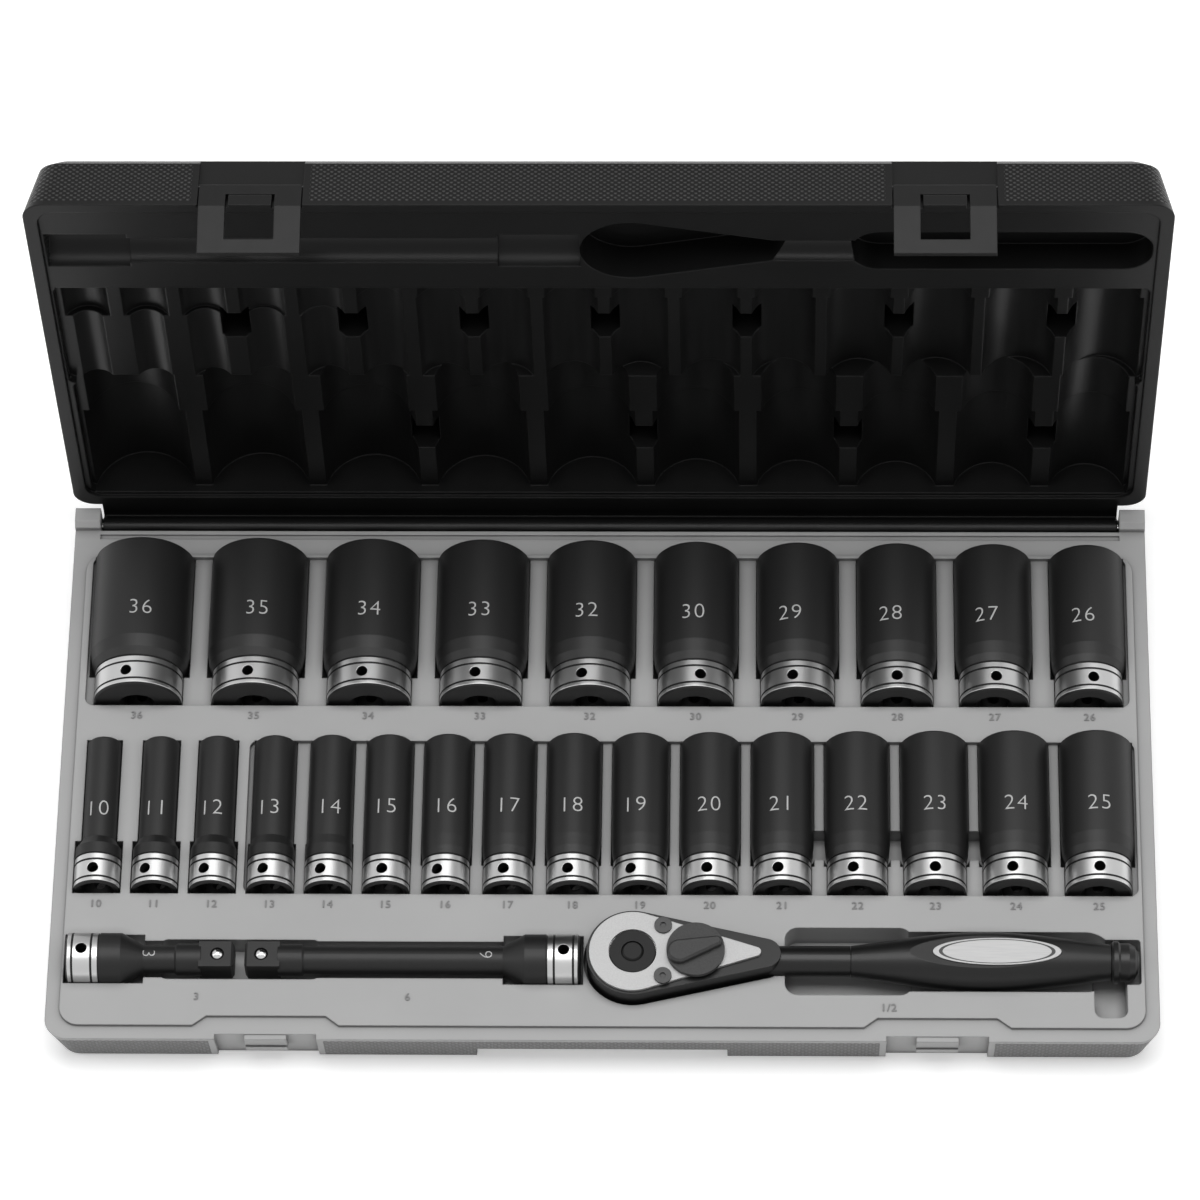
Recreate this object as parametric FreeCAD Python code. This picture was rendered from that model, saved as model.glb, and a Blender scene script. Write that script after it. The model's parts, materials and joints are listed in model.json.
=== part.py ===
import FreeCAD
import Part

import math
import os

# A half inch drive deep socket set in a hinged moulded case, lid standing open.
# Millimetres. X runs along the case, Y from its front to its hinge, Z up.
# The origin is the centre of the base's underside.

# Case halves
case_width = 505.0
base_depth = 278.0
base_height = 27.5
base_draft = 5.0
lid_height = 29.0
lid_draft = 6.0
case_corner = 10.0
foot_chamfer = 2.5
lid_edge_chamfer = 3.5
flange_width = 6.5
panel_rise = 1.5
panel_corner = 9.0
panel_clearance = 0.4
panel_headroom = 0.6
parting_gap = 0.3
lid_open_angle = 90.0
lid_face_margin = 34.0
lid_face_depth = 1.0
overcut = 1.0

# Hinge
hinge_inset = 7.0
hinge_drop = 5.0
barrel_radius = 4.7
hinge_pin_radius = 1.5
pin_play = 0.2
pin_seat_play = 0.05
barrel_play = 0.5
web_length = 12.0
web_thickness = 3.5
web_root = 4.0
ear_width = 12.0
ear_rise = 5.0
ear_front = 5.0
ear_back = 4.3
ear_side_gap = 0.8
hinge_stop_gap = 0.3
ear_slope = 2.5
ear_cover = 1.5
shelf_groove_width = 2.5
shelf_groove_depth = 1.0
shelf_groove_setback = 4.5

# Latches and their catches
latch_spacing = 304.0
latch_width = 45.0
latch_thickness = 2.2
latch_rise = 12.0
latch_reach = 22.0
latch_side_gap = 0.6
latch_floor_gap = 0.4
latch_window_width = 21.6
latch_window_top = 7.0
latch_window_bottom = 15.5
latch_pin_radius = 0.6
latch_pin_bite = 3.0
catch_side_gap = 1.3
catch_end_gap = 0.4
catch_bump = 0.8
catch_bump_height = 5.0
latch_swing = 6.0
panel_notch_setback = 4.7
panel_notch_side = 4.0
panel_notch_slope = 7.5

# Finger scoop under the front edge
scoop_width = 114.0
scoop_height = 13.0
scoop_depth = 22.0
scoop_corner = 5.0

# Sockets
back_row_sizes = [36, 35, 34, 33, 32, 30, 29, 28, 27, 26]
middle_row_sizes = [10, 11, 12, 13, 14, 15, 16, 17, 18, 19, 20, 21, 22, 23, 24, 25]
socket_length = 77.0
smallest_size = 10
smallest_body = 16.0
body_growth = 1.17
smallest_drive_end = 21.6
drive_growth_from = 16
drive_growth = 0.97
back_row_gap = 8.6
middle_row_gap = 4.9
band_length = 14.5
band_groove_offset = 2.6
band_groove_width = 0.6
band_groove_depth = 0.35
neck_groove_width = 0.8
neck_groove_depth = 0.5
collar_length = 25.0
shoulder_bulge = 0.65
shoulder_bulge_at = 19.0
cove_start = 20.5
end_chamfer = 1.0
drive_square = 12.7
square_play = 0.25
drive_depth = 19.0
drive_mouth_radius = 8.7
drive_mouth_depth = 2.0
hex_play = 0.2
hex_depth = 34.0
hex_mouth = 0.6
bore_share = 0.98
cross_hole_radius = 2.6
# How far each socket is rolled on its axis, in degrees, as it lies in its pocket
back_row_roll = [-12, -6, -7, -6, -11, 8, -8, -1, 2, 6]
middle_row_roll = [-7, -22, -19, -16, -17, -8, -20, -9, -10, -20, -6, -9, -9, -1, -7, 0]

# Pockets
seat_clearance = 0.3
hex_end_gap = 1.0
drive_end_gap = 1.5
crest_drop = 1.0
row_margin = 1.0
row_back_margin = 1.5
row_corner = 4.0
panel_sockets = 3
lid_clearance = 1.2
lid_drive_gap = 4.0
lid_crest = 6.0
row_gap = 21.0
front_row_gap = 35.0
finger_slot_sizes = [21, 24]
finger_slot_length = 15.0
finger_slot_from_drive = 18.0
finger_slot_depth = 11.0

# Blind wells moulded into the lid, one after every few ribs
well_width = 13.0
well_length = 20.0
well_wall = 5.0
middle_wells_after = [12, 14, 16, 18, 20, 22, 24]
back_wells_after = [34, 32, 29, 27]
well_from_drive = 24.0

# Extension bars
short_bar_length = 76.2
long_bar_length = 152.4
bar_end_radius = 12.0
bar_shaft_radius = 6.4
bar_collar_radius = 7.3
bar_collar_length = 12.0
bar_taper = 10.0
bar_tip = 15.0
bar_spacing = 5.0
bar_start_margin = 2.4
bar_lift = 1.0
tip_chamfer = 1.2
ball_radius = 3.0
ball_proud = 1.2
ball_play = 0.1
ball_spring_length = 2.5
ball_spring_wall = 0.9
ball_spring_play = 0.4
bar_well_reach = 37.0
bar_well_width = 20.0
bar_well_depth = 12.0

# Ratchet
ratchet_length = 250.0
ratchet_gap = 3.0
head_radius = 21.0
head_below = 8.0
head_above = 10.0
head_edge = 1.5
neck_end = 60.0
neck_radius = 7.2
handle_lift = 1.0
grip_start = 99.0
grip_lip = 6.0
grip_fullness = 1.4
grip_tail_fullness = 0.6
grip_pocket_corner = 13.0
grip_end_gap = 0.2
tang_radius = 6.0
tang_play = 0.05
grip_waist_radius = 8.0
grip_max_radius = 13.6
grip_max_at = 165.0
grip_tail_radius = 8.2
end_cap_length = 12.0
end_cap_flange = 9.8
end_cap_flange_length = 4.0
end_cap_nose = 4.0
end_cap_step = 1.0
badge_flat = 11.0
badge_length = 58.0
badge_width = 13.6
badge_inlay = 0.8
badge_thickness = 1.2
badge_play = 0.05
plate_thickness = 1.6
plate_radius = 19.7
plate_tip_at = 56.0
plate_tip_radius = 2.2
plate_play = 0.5
gear_radius = 13.6
gear_teeth = 36
gear_tooth = 1.2
gear_play = 0.3
gear_hub = 10.4
gear_floor = 3.2
drive_length = 16.0
drive_ball_radius = 2.5
drive_ball_proud = 1.0
drive_ball_from_end = 6.5
drive_ball_push = 1.3
button_radius = 4.9
button_play = 0.2
button_proud = 0.6
button_travel = 2.5
button_stem_radius = 2.6
button_length = 7.0
button_head_height = 3.5
button_bevel = 0.8
button_spring_wall = 1.0
ring_ledge = 1.2
ring_thickness = 0.8
screw_at = 13.8
screw_side = 12.7
screw_head_radius = 4.0
screw_head_height = 1.2
screw_shank_radius = 1.8
screw_shank_length = 6.0
screw_key_across = 2.5
screw_key_depth = 0.9
screw_play = 0.05
lever_at = 28.6
lever_radius = 13.2
lever_thickness = 2.2
lever_thumb_height = 3.5
lever_thumb_big = 5.6
lever_thumb_small = 2.4
lever_thumb_back = 7.5
lever_thumb_front = 10.0
lever_thumb_bevel = 1.0
lever_turn = 17.0
lever_stem_radius = 5.0
lever_stem_length = 8.0
lever_play = 0.2
pawl_pin_at = 20.6
pawl_pin_radius = 1.5
pawl_inner = 15.4
pawl_outer = 20.0
pawl_half_angle = 34.0
pawl_thickness = 7.7
pawl_boss_radius = 3.0
pawl_rock = 0.8
pawl_end_room = 8.0
pocket_side = 1.5
finger_well_start = 69.0
finger_well_length = 58.0
finger_well_width = 34.0
finger_well_depth = 14.0
finger_well_corner = 6.0
end_well_start = 209.0
end_well_length = 15.0
end_well_width = 28.0

# Derived places
half_width = case_width / 2
front_edge = -base_depth / 2
back_edge = base_depth / 2
rim = base_height
lid_rim = rim + parting_gap
hinge_y = back_edge - hinge_inset
hinge_z = rim - hinge_drop
lid_back = hinge_y - web_length
panel_top = rim + panel_rise
panel_x = half_width - flange_width
panel_front = front_edge + flange_width
panel_back = lid_back - flange_width - panel_clearance
back_hex_y = panel_back - hex_end_gap - row_back_margin
back_drive_y = back_hex_y - socket_length
middle_hex_y = back_drive_y - row_gap
middle_drive_y = middle_hex_y - socket_length
front_axis_y = middle_drive_y - front_row_gap
crest = rim - crest_drop
above = base_height + lid_height
ear_inner_x = half_width - ear_width
bar_axis_z = rim + bar_lift
short_bar_x = -panel_x + bar_start_margin
long_bar_x = short_bar_x + short_bar_length + bar_spacing
head_x = long_bar_x + long_bar_length + ratchet_gap + head_radius
handle_z = rim + handle_lift
head_bottom = rim - head_below
head_top = rim + head_above
plate_top = head_top + plate_thickness
cap_start = ratchet_length - head_radius - end_cap_length
grip_end = cap_start - grip_end_gap
ring_radius = gear_radius + gear_play + ring_ledge
gear_bottom = head_bottom + gear_floor
gear_top = head_top - ring_thickness - gear_play
hub_top = plate_top - gear_play
drive_bottom = head_bottom - drive_length
button_foot = hub_top + button_proud - button_length
spring_floor = button_foot - button_travel - button_proud
pawl_top = gear_bottom + gear_play + pawl_thickness
pawl_pin_foot = gear_bottom - gear_floor / 2
pawl_pin_top = pawl_top + gear_floor
stem_bottom = head_top - lever_stem_length
screw_foot = head_top - screw_shank_length
X = FreeCAD.Vector(1, 0, 0)
Y = FreeCAD.Vector(0, 1, 0)
Z = FreeCAD.Vector(0, 0, 1)
touch = 0.001


def at(x, y, z):
    return FreeCAD.Vector(x, y, z)


def box(x0, x1, y0, y1, z0, z1):
    return Part.makeBox(x1 - x0, y1 - y0, z1 - z0, at(x0, y0, z0))


def rod(radius, start, end):
    run = end - start
    return Part.makeCylinder(radius, run.Length, start, run)


def rounded_rectangle(x0, x1, y0, y1, z, radius):
    """A closed wire of four sides and four quarter circles, at height z."""
    edges = []
    corners = [(x1 - radius, y0 + radius, -90), (x1 - radius, y1 - radius, 0),
               (x0 + radius, y1 - radius, 90), (x0 + radius, y0 + radius, 180)]
    ends = []
    for cx, cy, start in corners:
        points = []
        for turn in (0, 45, 90):
            angle = math.radians(start + turn)
            points.append(at(cx + radius * math.cos(angle), cy + radius * math.sin(angle), z))
        ends.append(points)
    for index, points in enumerate(ends):
        edges.append(Part.Arc(*points).toShape())
        edges.append(Part.makeLine(points[2], ends[(index + 1) % 4][0]))
    return Part.Wire(edges)


def slab(x0, x1, y0, y1, z0, z1, radius):
    return Part.Face(rounded_rectangle(x0, x1, y0, y1, z0, radius)).extrude(Z * (z1 - z0))


def edges_at(shape, height):
    """The edges of a shape that lie level at one height."""
    return [edge for edge in shape.Edges if all(abs(corner.Z - height) < touch for corner in edge.Vertexes)]


def ring_of_points(centre, radius, count, first, second, turn=0):
    """Evenly spaced points on a circle in the plane of first and second."""
    points = []
    for step in range(count):
        angle = math.radians(360 * step / count + turn)
        points.append(centre + first * (radius * math.cos(angle)) + second * (radius * math.sin(angle)))
    return points


def prism(points, direction):
    """The solid swept by a flat polygon along direction."""
    return Part.Face(Part.makePolygon(points + points[:1])).extrude(direction)


def drafted_half(back, heights, insets):
    """A case half: rounded rectangles at several heights, each drawn in, joined by flat walls."""
    wires = []
    for height, inset in zip(heights, insets):
        wires.append(rounded_rectangle(-half_width + inset, half_width - inset, front_edge + inset,
                                       back - inset, height, case_corner))
    return Part.makeLoft(wires, True, True)


def trough(start, run, radius, reach):
    """A half round channel along run whose sides go straight on by reach, upwards or downwards."""
    side = run.cross(Z).normalize() * radius
    bottom = Z * math.copysign(radius, reach)
    far = Z * reach
    edges = [Part.Arc(start - side, start - bottom, start + side).toShape(),
             Part.makeLine(start + side, start + side + far),
             Part.makeLine(start + side + far, start - side + far),
             Part.makeLine(start - side + far, start - side)]
    return Part.Face(Part.Wire(edges)).extrude(run)


def row_trough(x, radius, y0, y1, reach):
    """A channel for a socket, along Y at the height of the rim."""
    return trough(at(x, y0, rim), Y * (y1 - y0), radius, reach)


def front_trough(axis_z, radius, x0, x1, reach):
    """A channel for a tool of the front row, along X."""
    return trough(at(min(x0, x1), front_axis_y, axis_z), X * abs(x1 - x0), radius, reach)


def turned(profile, origin, axis, radial):
    """A solid of revolution from (radius, distance along axis) pairs."""
    points = [origin + radial * r + axis * a for r, a in profile]
    return Part.Face(Part.makePolygon(points + points[:1])).revolve(origin, axis, 360)


def body_radius(size):
    return (smallest_body + body_growth * (size - smallest_size)) / 2


def drive_radius(size):
    return (smallest_drive_end + drive_growth * max(0, size - drive_growth_from)) / 2


def row_places(sizes, gap):
    """Centre lines of a row of sockets with an equal gap between neighbours, centred on the case."""
    widths = [2 * max(body_radius(size), drive_radius(size)) for size in sizes]
    x = -(sum(widths) + gap * (len(sizes) - 1)) / 2
    places = []
    for width in widths:
        places.append(x + width / 2)
        x += width + gap
    return places


def drive_end_profile(radius):
    """The bright band at a drive end, with its two turned grooves and the neck groove behind it."""
    floor = radius - band_groove_depth
    first = band_groove_offset
    second = band_length - band_groove_offset - band_groove_width
    profile = [(0, 0), (radius - end_chamfer, 0), (radius, end_chamfer)]
    for start in (first, second):
        profile += [(radius, start), (floor, start), (floor, start + band_groove_width),
                    (radius, start + band_groove_width)]
    neck = radius - neck_groove_depth
    profile += [(radius, band_length), (neck, band_length),
                (neck, band_length + neck_groove_width), (radius, band_length + neck_groove_width)]
    return profile


def square_socket(axis_point, axis, roll, depth):
    """The half inch square hole with its round lead in, to be cut from a drive end."""
    half = (drive_square + square_play) / 2
    hole = Part.makeBox(2 * half, 2 * half, depth + overcut, at(-half, -half, -overcut))
    hole.rotate(at(0, 0, 0), Z, roll)
    hole.Placement = FreeCAD.Placement(axis_point, FreeCAD.Rotation(Z, axis)).multiply(hole.Placement)
    mouth = Part.makeCone(drive_mouth_radius, half, drive_mouth_depth, axis_point, axis)
    return [hole, mouth]


def make_socket(size, roll, x, drive_y):
    """One deep socket lying along Y: square drive towards the front, hexagon towards the hinge."""
    wide, slim = drive_radius(size), body_radius(size)
    profile = drive_end_profile(wide)
    if slim > wide:
        profile.append((wide + shoulder_bulge * (slim - wide), shoulder_bulge_at))
    else:
        profile.append((wide, cove_start))
    profile += [(slim, collar_length), (slim, socket_length - end_chamfer),
                (slim - end_chamfer, socket_length), (0, socket_length)]
    foot = at(x, drive_y, rim)
    body = turned(profile, foot, Y, Z)
    corner = (size + hex_play) / math.sqrt(3)
    hex_y = drive_y + socket_length - hex_depth
    hexagon = prism(ring_of_points(at(x, hex_y, rim), corner, 6, X, Z, roll), Y * (hex_depth + overcut))
    mouth = Part.makeCone(corner - hex_mouth, corner + hex_mouth, 2 * hex_mouth,
                          at(x, drive_y + socket_length - 2 * hex_mouth, rim), Y)
    bore = rod(bore_share * size / 2, at(x, drive_y + drive_depth, rim), at(x, hex_y, rim))
    lean = math.radians(roll)
    across = at(math.sin(lean), 0, math.cos(lean)) * (wide + overcut)
    hole_at = at(x, drive_y + band_length / 2, rim)
    hole = rod(cross_hole_radius, hole_at - across, hole_at + across)
    return body.cut([hexagon, mouth, bore, hole] + square_socket(foot, Y, roll, drive_depth))


def socket_pocket(size, x, drive_y):
    """What a socket needs cut from the base: a half round seat, open upwards."""
    return [row_trough(x, drive_radius(size) + seat_clearance, drive_y - drive_end_gap,
                       drive_y + collar_length + seat_clearance, above),
            row_trough(x, body_radius(size) + seat_clearance, drive_y + band_length,
                       drive_y + socket_length + hex_end_gap, above)]


def socket_channel(size, x, drive_y, run):
    """What a socket needs cut from the closed lid, with a run past its drive end for the lid's swing."""
    return [row_trough(x, drive_radius(size) + lid_clearance, drive_y - run,
                       drive_y + collar_length + lid_clearance, -above),
            row_trough(x, body_radius(size) + lid_clearance, drive_y + band_length - lid_drive_gap,
                       drive_y + socket_length + hex_end_gap, -above)]


back_row_x = row_places(back_row_sizes, back_row_gap)
middle_row_x = row_places(middle_row_sizes, middle_row_gap)
sockets = []
for size, x, roll in zip(back_row_sizes, back_row_x, back_row_roll):
    sockets.append((size, x, back_drive_y, roll))
for size, x, roll in zip(middle_row_sizes, middle_row_x, middle_row_roll):
    sockets.append((size, x, middle_drive_y, roll))


def rib_after(size, sizes, places):
    """X halfway between a socket and its right hand neighbour."""
    index = sizes.index(size)
    return (places[index] + places[index + 1]) / 2


def wall_line(z):
    """Y of the front wall's outer face at height z, on the closed case."""
    if z >= rim:
        return front_edge + lid_draft * (z - rim) / lid_height
    return front_edge + base_draft * (rim - z) / base_height


def wall_band(low, high, inner, outer, x, width):
    """A slab that follows the front wall from height low to high, between two depths behind its face."""
    heights = [low, high] if low >= rim or high <= rim else [low, rim, high]
    points = [at(x - width / 2, wall_line(z) + outer, z) for z in heights]
    points += [at(x - width / 2, wall_line(z) + inner, z) for z in reversed(heights)]
    return prism(points, X * width)


latch_places = {"left": -latch_spacing / 2, "right": latch_spacing / 2}
latch_recess_depth = latch_thickness + latch_floor_gap
latch_recess_width = latch_width + 2 * latch_side_gap
latch_pin_reach = latch_recess_width / 2 + latch_pin_bite
catch_width = latch_window_width - 2 * catch_side_gap
latch_pin_z = rim + latch_rise
latch_pin_y = wall_line(latch_pin_z) + latch_thickness / 2


def latch_rod(x, radius, reach):
    """A cylinder on a latch's axis, reaching equally to both sides of x."""
    return rod(radius, at(x - reach, latch_pin_y, latch_pin_z), at(x + reach, latch_pin_y, latch_pin_z))


def hinge_rod(radius, reach):
    """A cylinder on the lid's hinge axis, reaching equally to both sides."""
    return rod(radius, at(-reach, hinge_y, hinge_z), at(reach, hinge_y, hinge_z))


def make_ear(side):
    """A hinge ear at one end of the base, its front upper corner cut back."""
    low = hinge_z - barrel_radius
    top = rim + ear_rise
    front = hinge_y - ear_front
    back = hinge_y + ear_back
    profile = [(front, low), (back, low), (back, top), (front + ear_slope, top), (front, top - ear_slope)]
    return prism([at(side * half_width, y, z) for y, z in profile], X * (-side * ear_width))


def hinge_cuts():
    """The trough the lid's barrel turns in, the pin's holes and the groove along the back shelf."""
    reach = ear_inner_x
    trough_front = hinge_y - barrel_radius - barrel_play
    stop = hinge_z - web_root / 2 - hinge_stop_gap
    groove = trough_front - shelf_groove_setback
    behind = back_edge + overcut
    return [hinge_rod(barrel_radius + barrel_play, reach),
            box(-reach, reach, trough_front, hinge_y, hinge_z, above),
            box(-reach, reach, hinge_y, behind, stop, above),
            box(-half_width, half_width, hinge_y + ear_back, behind, stop, above),
            hinge_rod(hinge_pin_radius + pin_seat_play, half_width - ear_cover),
            box(-reach, reach, groove, groove + shelf_groove_width, rim - shelf_groove_depth, above)]


def latch_cuts(x):
    """A latch's recess in the base's front wall and the notch it leaves in the panel's edge."""
    near = latch_recess_width / 2 + panel_notch_side
    wide = near + panel_notch_slope
    front = panel_front - overcut
    back = panel_front + panel_notch_setback
    corners = [(x - wide, front), (x + wide, front), (x + near, back), (x - near, back)]
    return [wall_band(-overcut, rim, latch_recess_depth, -latch_swing, x, latch_recess_width),
            prism([at(cx, cy, rim) for cx, cy in corners], Z * above)]


def row_recess(sizes, places, drive_y, first, margin, ends, z0, z1):
    """The shallow tray round a row of sockets, from its first socket to its last."""
    left = places[first] - max(body_radius(sizes[first]), drive_radius(sizes[first])) - margin
    right = places[-1] + max(body_radius(sizes[-1]), drive_radius(sizes[-1])) + margin
    return slab(left, right, drive_y - ends, drive_y + socket_length + hex_end_gap, z0, z1, row_corner)


def make_base():
    """The grey lower half: drafted block, raised panel, ears and catches, less every pocket."""
    foot_inset = base_draft * (1 - foot_chamfer / base_height)
    block = drafted_half(back_edge, [0, foot_chamfer, rim], [foot_inset + foot_chamfer, foot_inset, 0])
    panel = slab(-panel_x, panel_x, panel_front, panel_back, rim - panel_rise, panel_top, panel_corner)
    solid = block.fuse([panel, make_ear(-1), make_ear(1)])

    cuts = hinge_cuts()
    cuts.append(slab(-scoop_width / 2, scoop_width / 2, front_edge - scoop_depth, front_edge + scoop_depth,
                     -overcut, scoop_height, scoop_corner))
    for x in latch_places.values():
        cuts += latch_cuts(x)
    margin = row_margin + seat_clearance
    cuts.append(row_recess(back_row_sizes, back_row_x, back_drive_y, 0, margin, drive_end_gap, crest,
                           above))
    cuts.append(row_recess(middle_row_sizes, middle_row_x, middle_drive_y, panel_sockets, margin,
                           drive_end_gap, crest, above))
    for size, x, drive_y, roll in sockets:
        cuts += socket_pocket(size, x, drive_y)
    slot_ends = [middle_row_x[middle_row_sizes.index(size)] for size in finger_slot_sizes]
    slot_y = middle_drive_y + finger_slot_from_drive
    cuts.append(slab(slot_ends[0], slot_ends[1], slot_y, slot_y + finger_slot_length,
                     rim - finger_slot_depth, above, row_corner))
    solid = solid.cut(cuts + bar_pockets() + ratchet_pockets())

    catches = []
    for x in latch_places.values():
        low = rim - latch_window_bottom + catch_end_gap
        high = rim - catch_end_gap
        inside = latch_recess_depth + overcut
        catches.append(wall_band(low, high, inside, 0, x, catch_width))
        catches.append(wall_band(low, low + catch_bump_height, inside, -catch_bump, x, catch_width))
    return solid.fuse(catches).removeSplitter()


def make_lid():
    """The black upper half, modelled closed: drafted block, web and barrel, less every channel."""
    top = rim + lid_height
    shoulder = top - lid_edge_chamfer
    shoulder_inset = lid_draft * (shoulder - rim) / lid_height
    block = drafted_half(lid_back, [lid_rim, shoulder, top],
                         [0, shoulder_inset, shoulder_inset + lid_edge_chamfer])
    side = ear_inner_x - ear_side_gap
    web_back = hinge_y + web_root / 2
    web_top = lid_rim + web_thickness
    web = box(-side, side, lid_back - flange_width, web_back, lid_rim, web_top)
    root = box(-side, side, hinge_y - web_root / 2, web_back, hinge_z, web_top)
    solid = block.fuse([web, root, hinge_rod(barrel_radius, side)])

    cuts = [hinge_rod(hinge_pin_radius + pin_play, half_width)]
    grow = panel_clearance
    cuts.append(slab(-panel_x - grow, panel_x + grow, panel_front - grow, panel_back + grow, rim - overcut,
                     panel_top + panel_headroom, panel_corner))
    face_x = half_width - lid_face_margin
    cuts.append(slab(-face_x, face_x, front_edge + lid_face_margin, lid_back - lid_face_margin,
                     top - lid_face_depth, top + overcut, case_corner))
    margin = row_margin + lid_clearance
    wells = []
    # The back row's channels run on until they meet the middle row's
    runs = {back_drive_y: row_gap, middle_drive_y: lid_drive_gap}
    for sizes, places, drive_y, after in (
            (back_row_sizes, back_row_x, back_drive_y, back_wells_after),
            (middle_row_sizes, middle_row_x, middle_drive_y, middle_wells_after)):
        cuts.append(row_recess(sizes, places, drive_y, 0, margin, runs[drive_y], rim - overcut,
                               lid_rim + lid_crest))
        wells += [(rib_after(size, sizes, places), drive_y + well_from_drive) for size in after]
    for x, well_y in wells:
        cuts.append(box(x - well_width / 2, x + well_width / 2, well_y, well_y + well_length, rim,
                        top - well_wall))
    for size, x, drive_y, roll in sockets:
        cuts += socket_channel(size, x, drive_y, runs[drive_y])
    for x in latch_places.values():
        cuts.append(wall_band(rim, top + overcut, latch_recess_depth, -latch_swing, x, latch_recess_width))
        cuts.append(latch_rod(x, latch_pin_radius + pin_seat_play, latch_pin_reach))
    solid = solid.cut(cuts + bar_channels() + ratchet_channels())

    lugs = []
    for x in latch_places.values():
        high = rim + latch_window_top - catch_end_gap
        lugs.append(wall_band(lid_rim, high, latch_recess_depth + overcut, 0, x, catch_width))
    return solid.fuse(lugs).removeSplitter()


def make_latch(x):
    """A flap bent at the parting line to follow both walls, with a window that drops over the catch."""
    flap = wall_band(rim - latch_reach, latch_pin_z, latch_thickness, 0, x, latch_width)
    knuckle = latch_rod(x, latch_thickness / 2, latch_width / 2)
    half = latch_window_width / 2
    window = box(x - half, x + half, front_edge - latch_swing, front_edge + latch_swing + base_draft,
                 rim - latch_window_bottom, rim + latch_window_top)
    hole = latch_rod(x, latch_pin_radius + pin_seat_play, latch_width)
    return flap.fuse(knuckle).cut([window, hole]).removeSplitter()


def make_latch_pins():
    return Part.makeCompound([latch_rod(x, latch_pin_radius, latch_pin_reach - pin_seat_play)
                              for x in latch_places.values()])


def make_hinge_pin():
    return hinge_rod(hinge_pin_radius, half_width - ear_cover - pin_seat_play)


# Each bar with the X of its female end and of its male end
bars = [("extension_3in", short_bar_x, short_bar_x + short_bar_length),
        ("extension_6in", long_bar_x + long_bar_length, long_bar_x)]


def bar_heading(drive_x, tip_x):
    """Which way along X a bar's male end points, as plus or minus one."""
    return math.copysign(1, tip_x - drive_x)


def ball_place(drive_x, tip_x):
    """Centre of the detent ball in the middle of the tip's upper face."""
    depth = drive_square / 2 + ball_proud - ball_radius
    return at(tip_x - bar_heading(drive_x, tip_x) * bar_tip / 2, front_axis_y, bar_axis_z + depth)


def square_peg(foot, axis, length):
    """A male half inch square along axis from foot, chamfered round its free end."""
    half = drive_square / 2
    peg = Part.makeBox(drive_square, drive_square, length, at(-half, -half, 0))
    peg = peg.makeChamfer(tip_chamfer, edges_at(peg, length))
    peg.Placement = FreeCAD.Placement(foot, FreeCAD.Rotation(Z, axis))
    return peg


def make_bar(drive_x, tip_x):
    """An extension bar along X: female drive end, neck, collar and male square."""
    axis = X * bar_heading(drive_x, tip_x)
    shoulder = abs(tip_x - drive_x) - bar_tip
    collar = shoulder - bar_collar_length
    step = bar_collar_radius - bar_shaft_radius
    profile = drive_end_profile(bar_end_radius)
    profile += [(bar_end_radius, collar_length), (bar_shaft_radius, collar_length + bar_taper),
                (bar_shaft_radius, collar), (bar_collar_radius, collar + step),
                (bar_collar_radius, shoulder), (0, shoulder)]
    foot = at(drive_x, front_axis_y, bar_axis_z)
    body = turned(profile, foot, axis, Z)
    tip = square_peg(foot + axis * (shoulder - overcut), axis, bar_tip + overcut)
    ball = ball_place(drive_x, tip_x)
    ball_floor = ball - Z * (ball_radius + ball_spring_length)
    ball_hole = rod(ball_radius + ball_play, ball_floor, ball + Z * ball_radius)
    band_middle = foot + axis * (band_length / 2)
    beyond = Z * (bar_end_radius + overcut)
    pin_hole = rod(cross_hole_radius, band_middle - beyond, band_middle + beyond)
    cuts = [ball_hole, pin_hole] + square_socket(foot, axis, 0, drive_depth)
    return body.fuse(tip).cut(cuts).removeSplitter()


def make_ball(drive_x, tip_x):
    return Part.makeSphere(ball_radius, ball_place(drive_x, tip_x))


def make_ball_spring(drive_x, tip_x):
    """The little compression spring under a detent ball, as a plain sleeve."""
    top = ball_place(drive_x, tip_x) - Z * ball_radius
    foot = top - Z * ball_spring_length
    outer = ball_radius - ball_spring_play
    return rod(outer, foot, top).cut(rod(outer - ball_spring_wall, foot, top))


def bar_spans(drive_x, tip_x, gap, tip_radius):
    """The stretches of a bar's channel: the female end with its taper, then the shaft and the tip."""
    heading = bar_heading(drive_x, tip_x)
    neck_x = drive_x + heading * (collar_length + bar_taper)
    return [(drive_x - heading * drive_end_gap, neck_x, bar_end_radius),
            (drive_x, tip_x + heading * gap, tip_radius)]


def bar_pockets():
    """Seats for both bars, with a finger well round the two male ends."""
    cuts = []
    for name, drive_x, tip_x in bars:
        for start, end, radius in bar_spans(drive_x, tip_x, drive_end_gap, drive_square * math.sqrt(0.5)):
            cuts.append(front_trough(bar_axis_z, radius + seat_clearance, start, end, above))
    middle = (bars[0][2] + bars[1][2]) / 2
    half = bar_well_width / 2
    cuts.append(slab(middle - bar_well_reach, middle + bar_well_reach, front_axis_y - half,
                     front_axis_y + half, bar_axis_z - bar_well_depth, above, row_corner))
    return cuts


def bar_channels():
    """Room for both bars in the closed lid."""
    cuts = []
    for name, drive_x, tip_x in bars:
        for start, end, radius in bar_spans(drive_x, tip_x, bar_spacing, drive_square * math.sqrt(0.5)):
            cuts.append(front_trough(bar_axis_z, radius + lid_clearance, start, end, -above))
    return cuts


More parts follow.
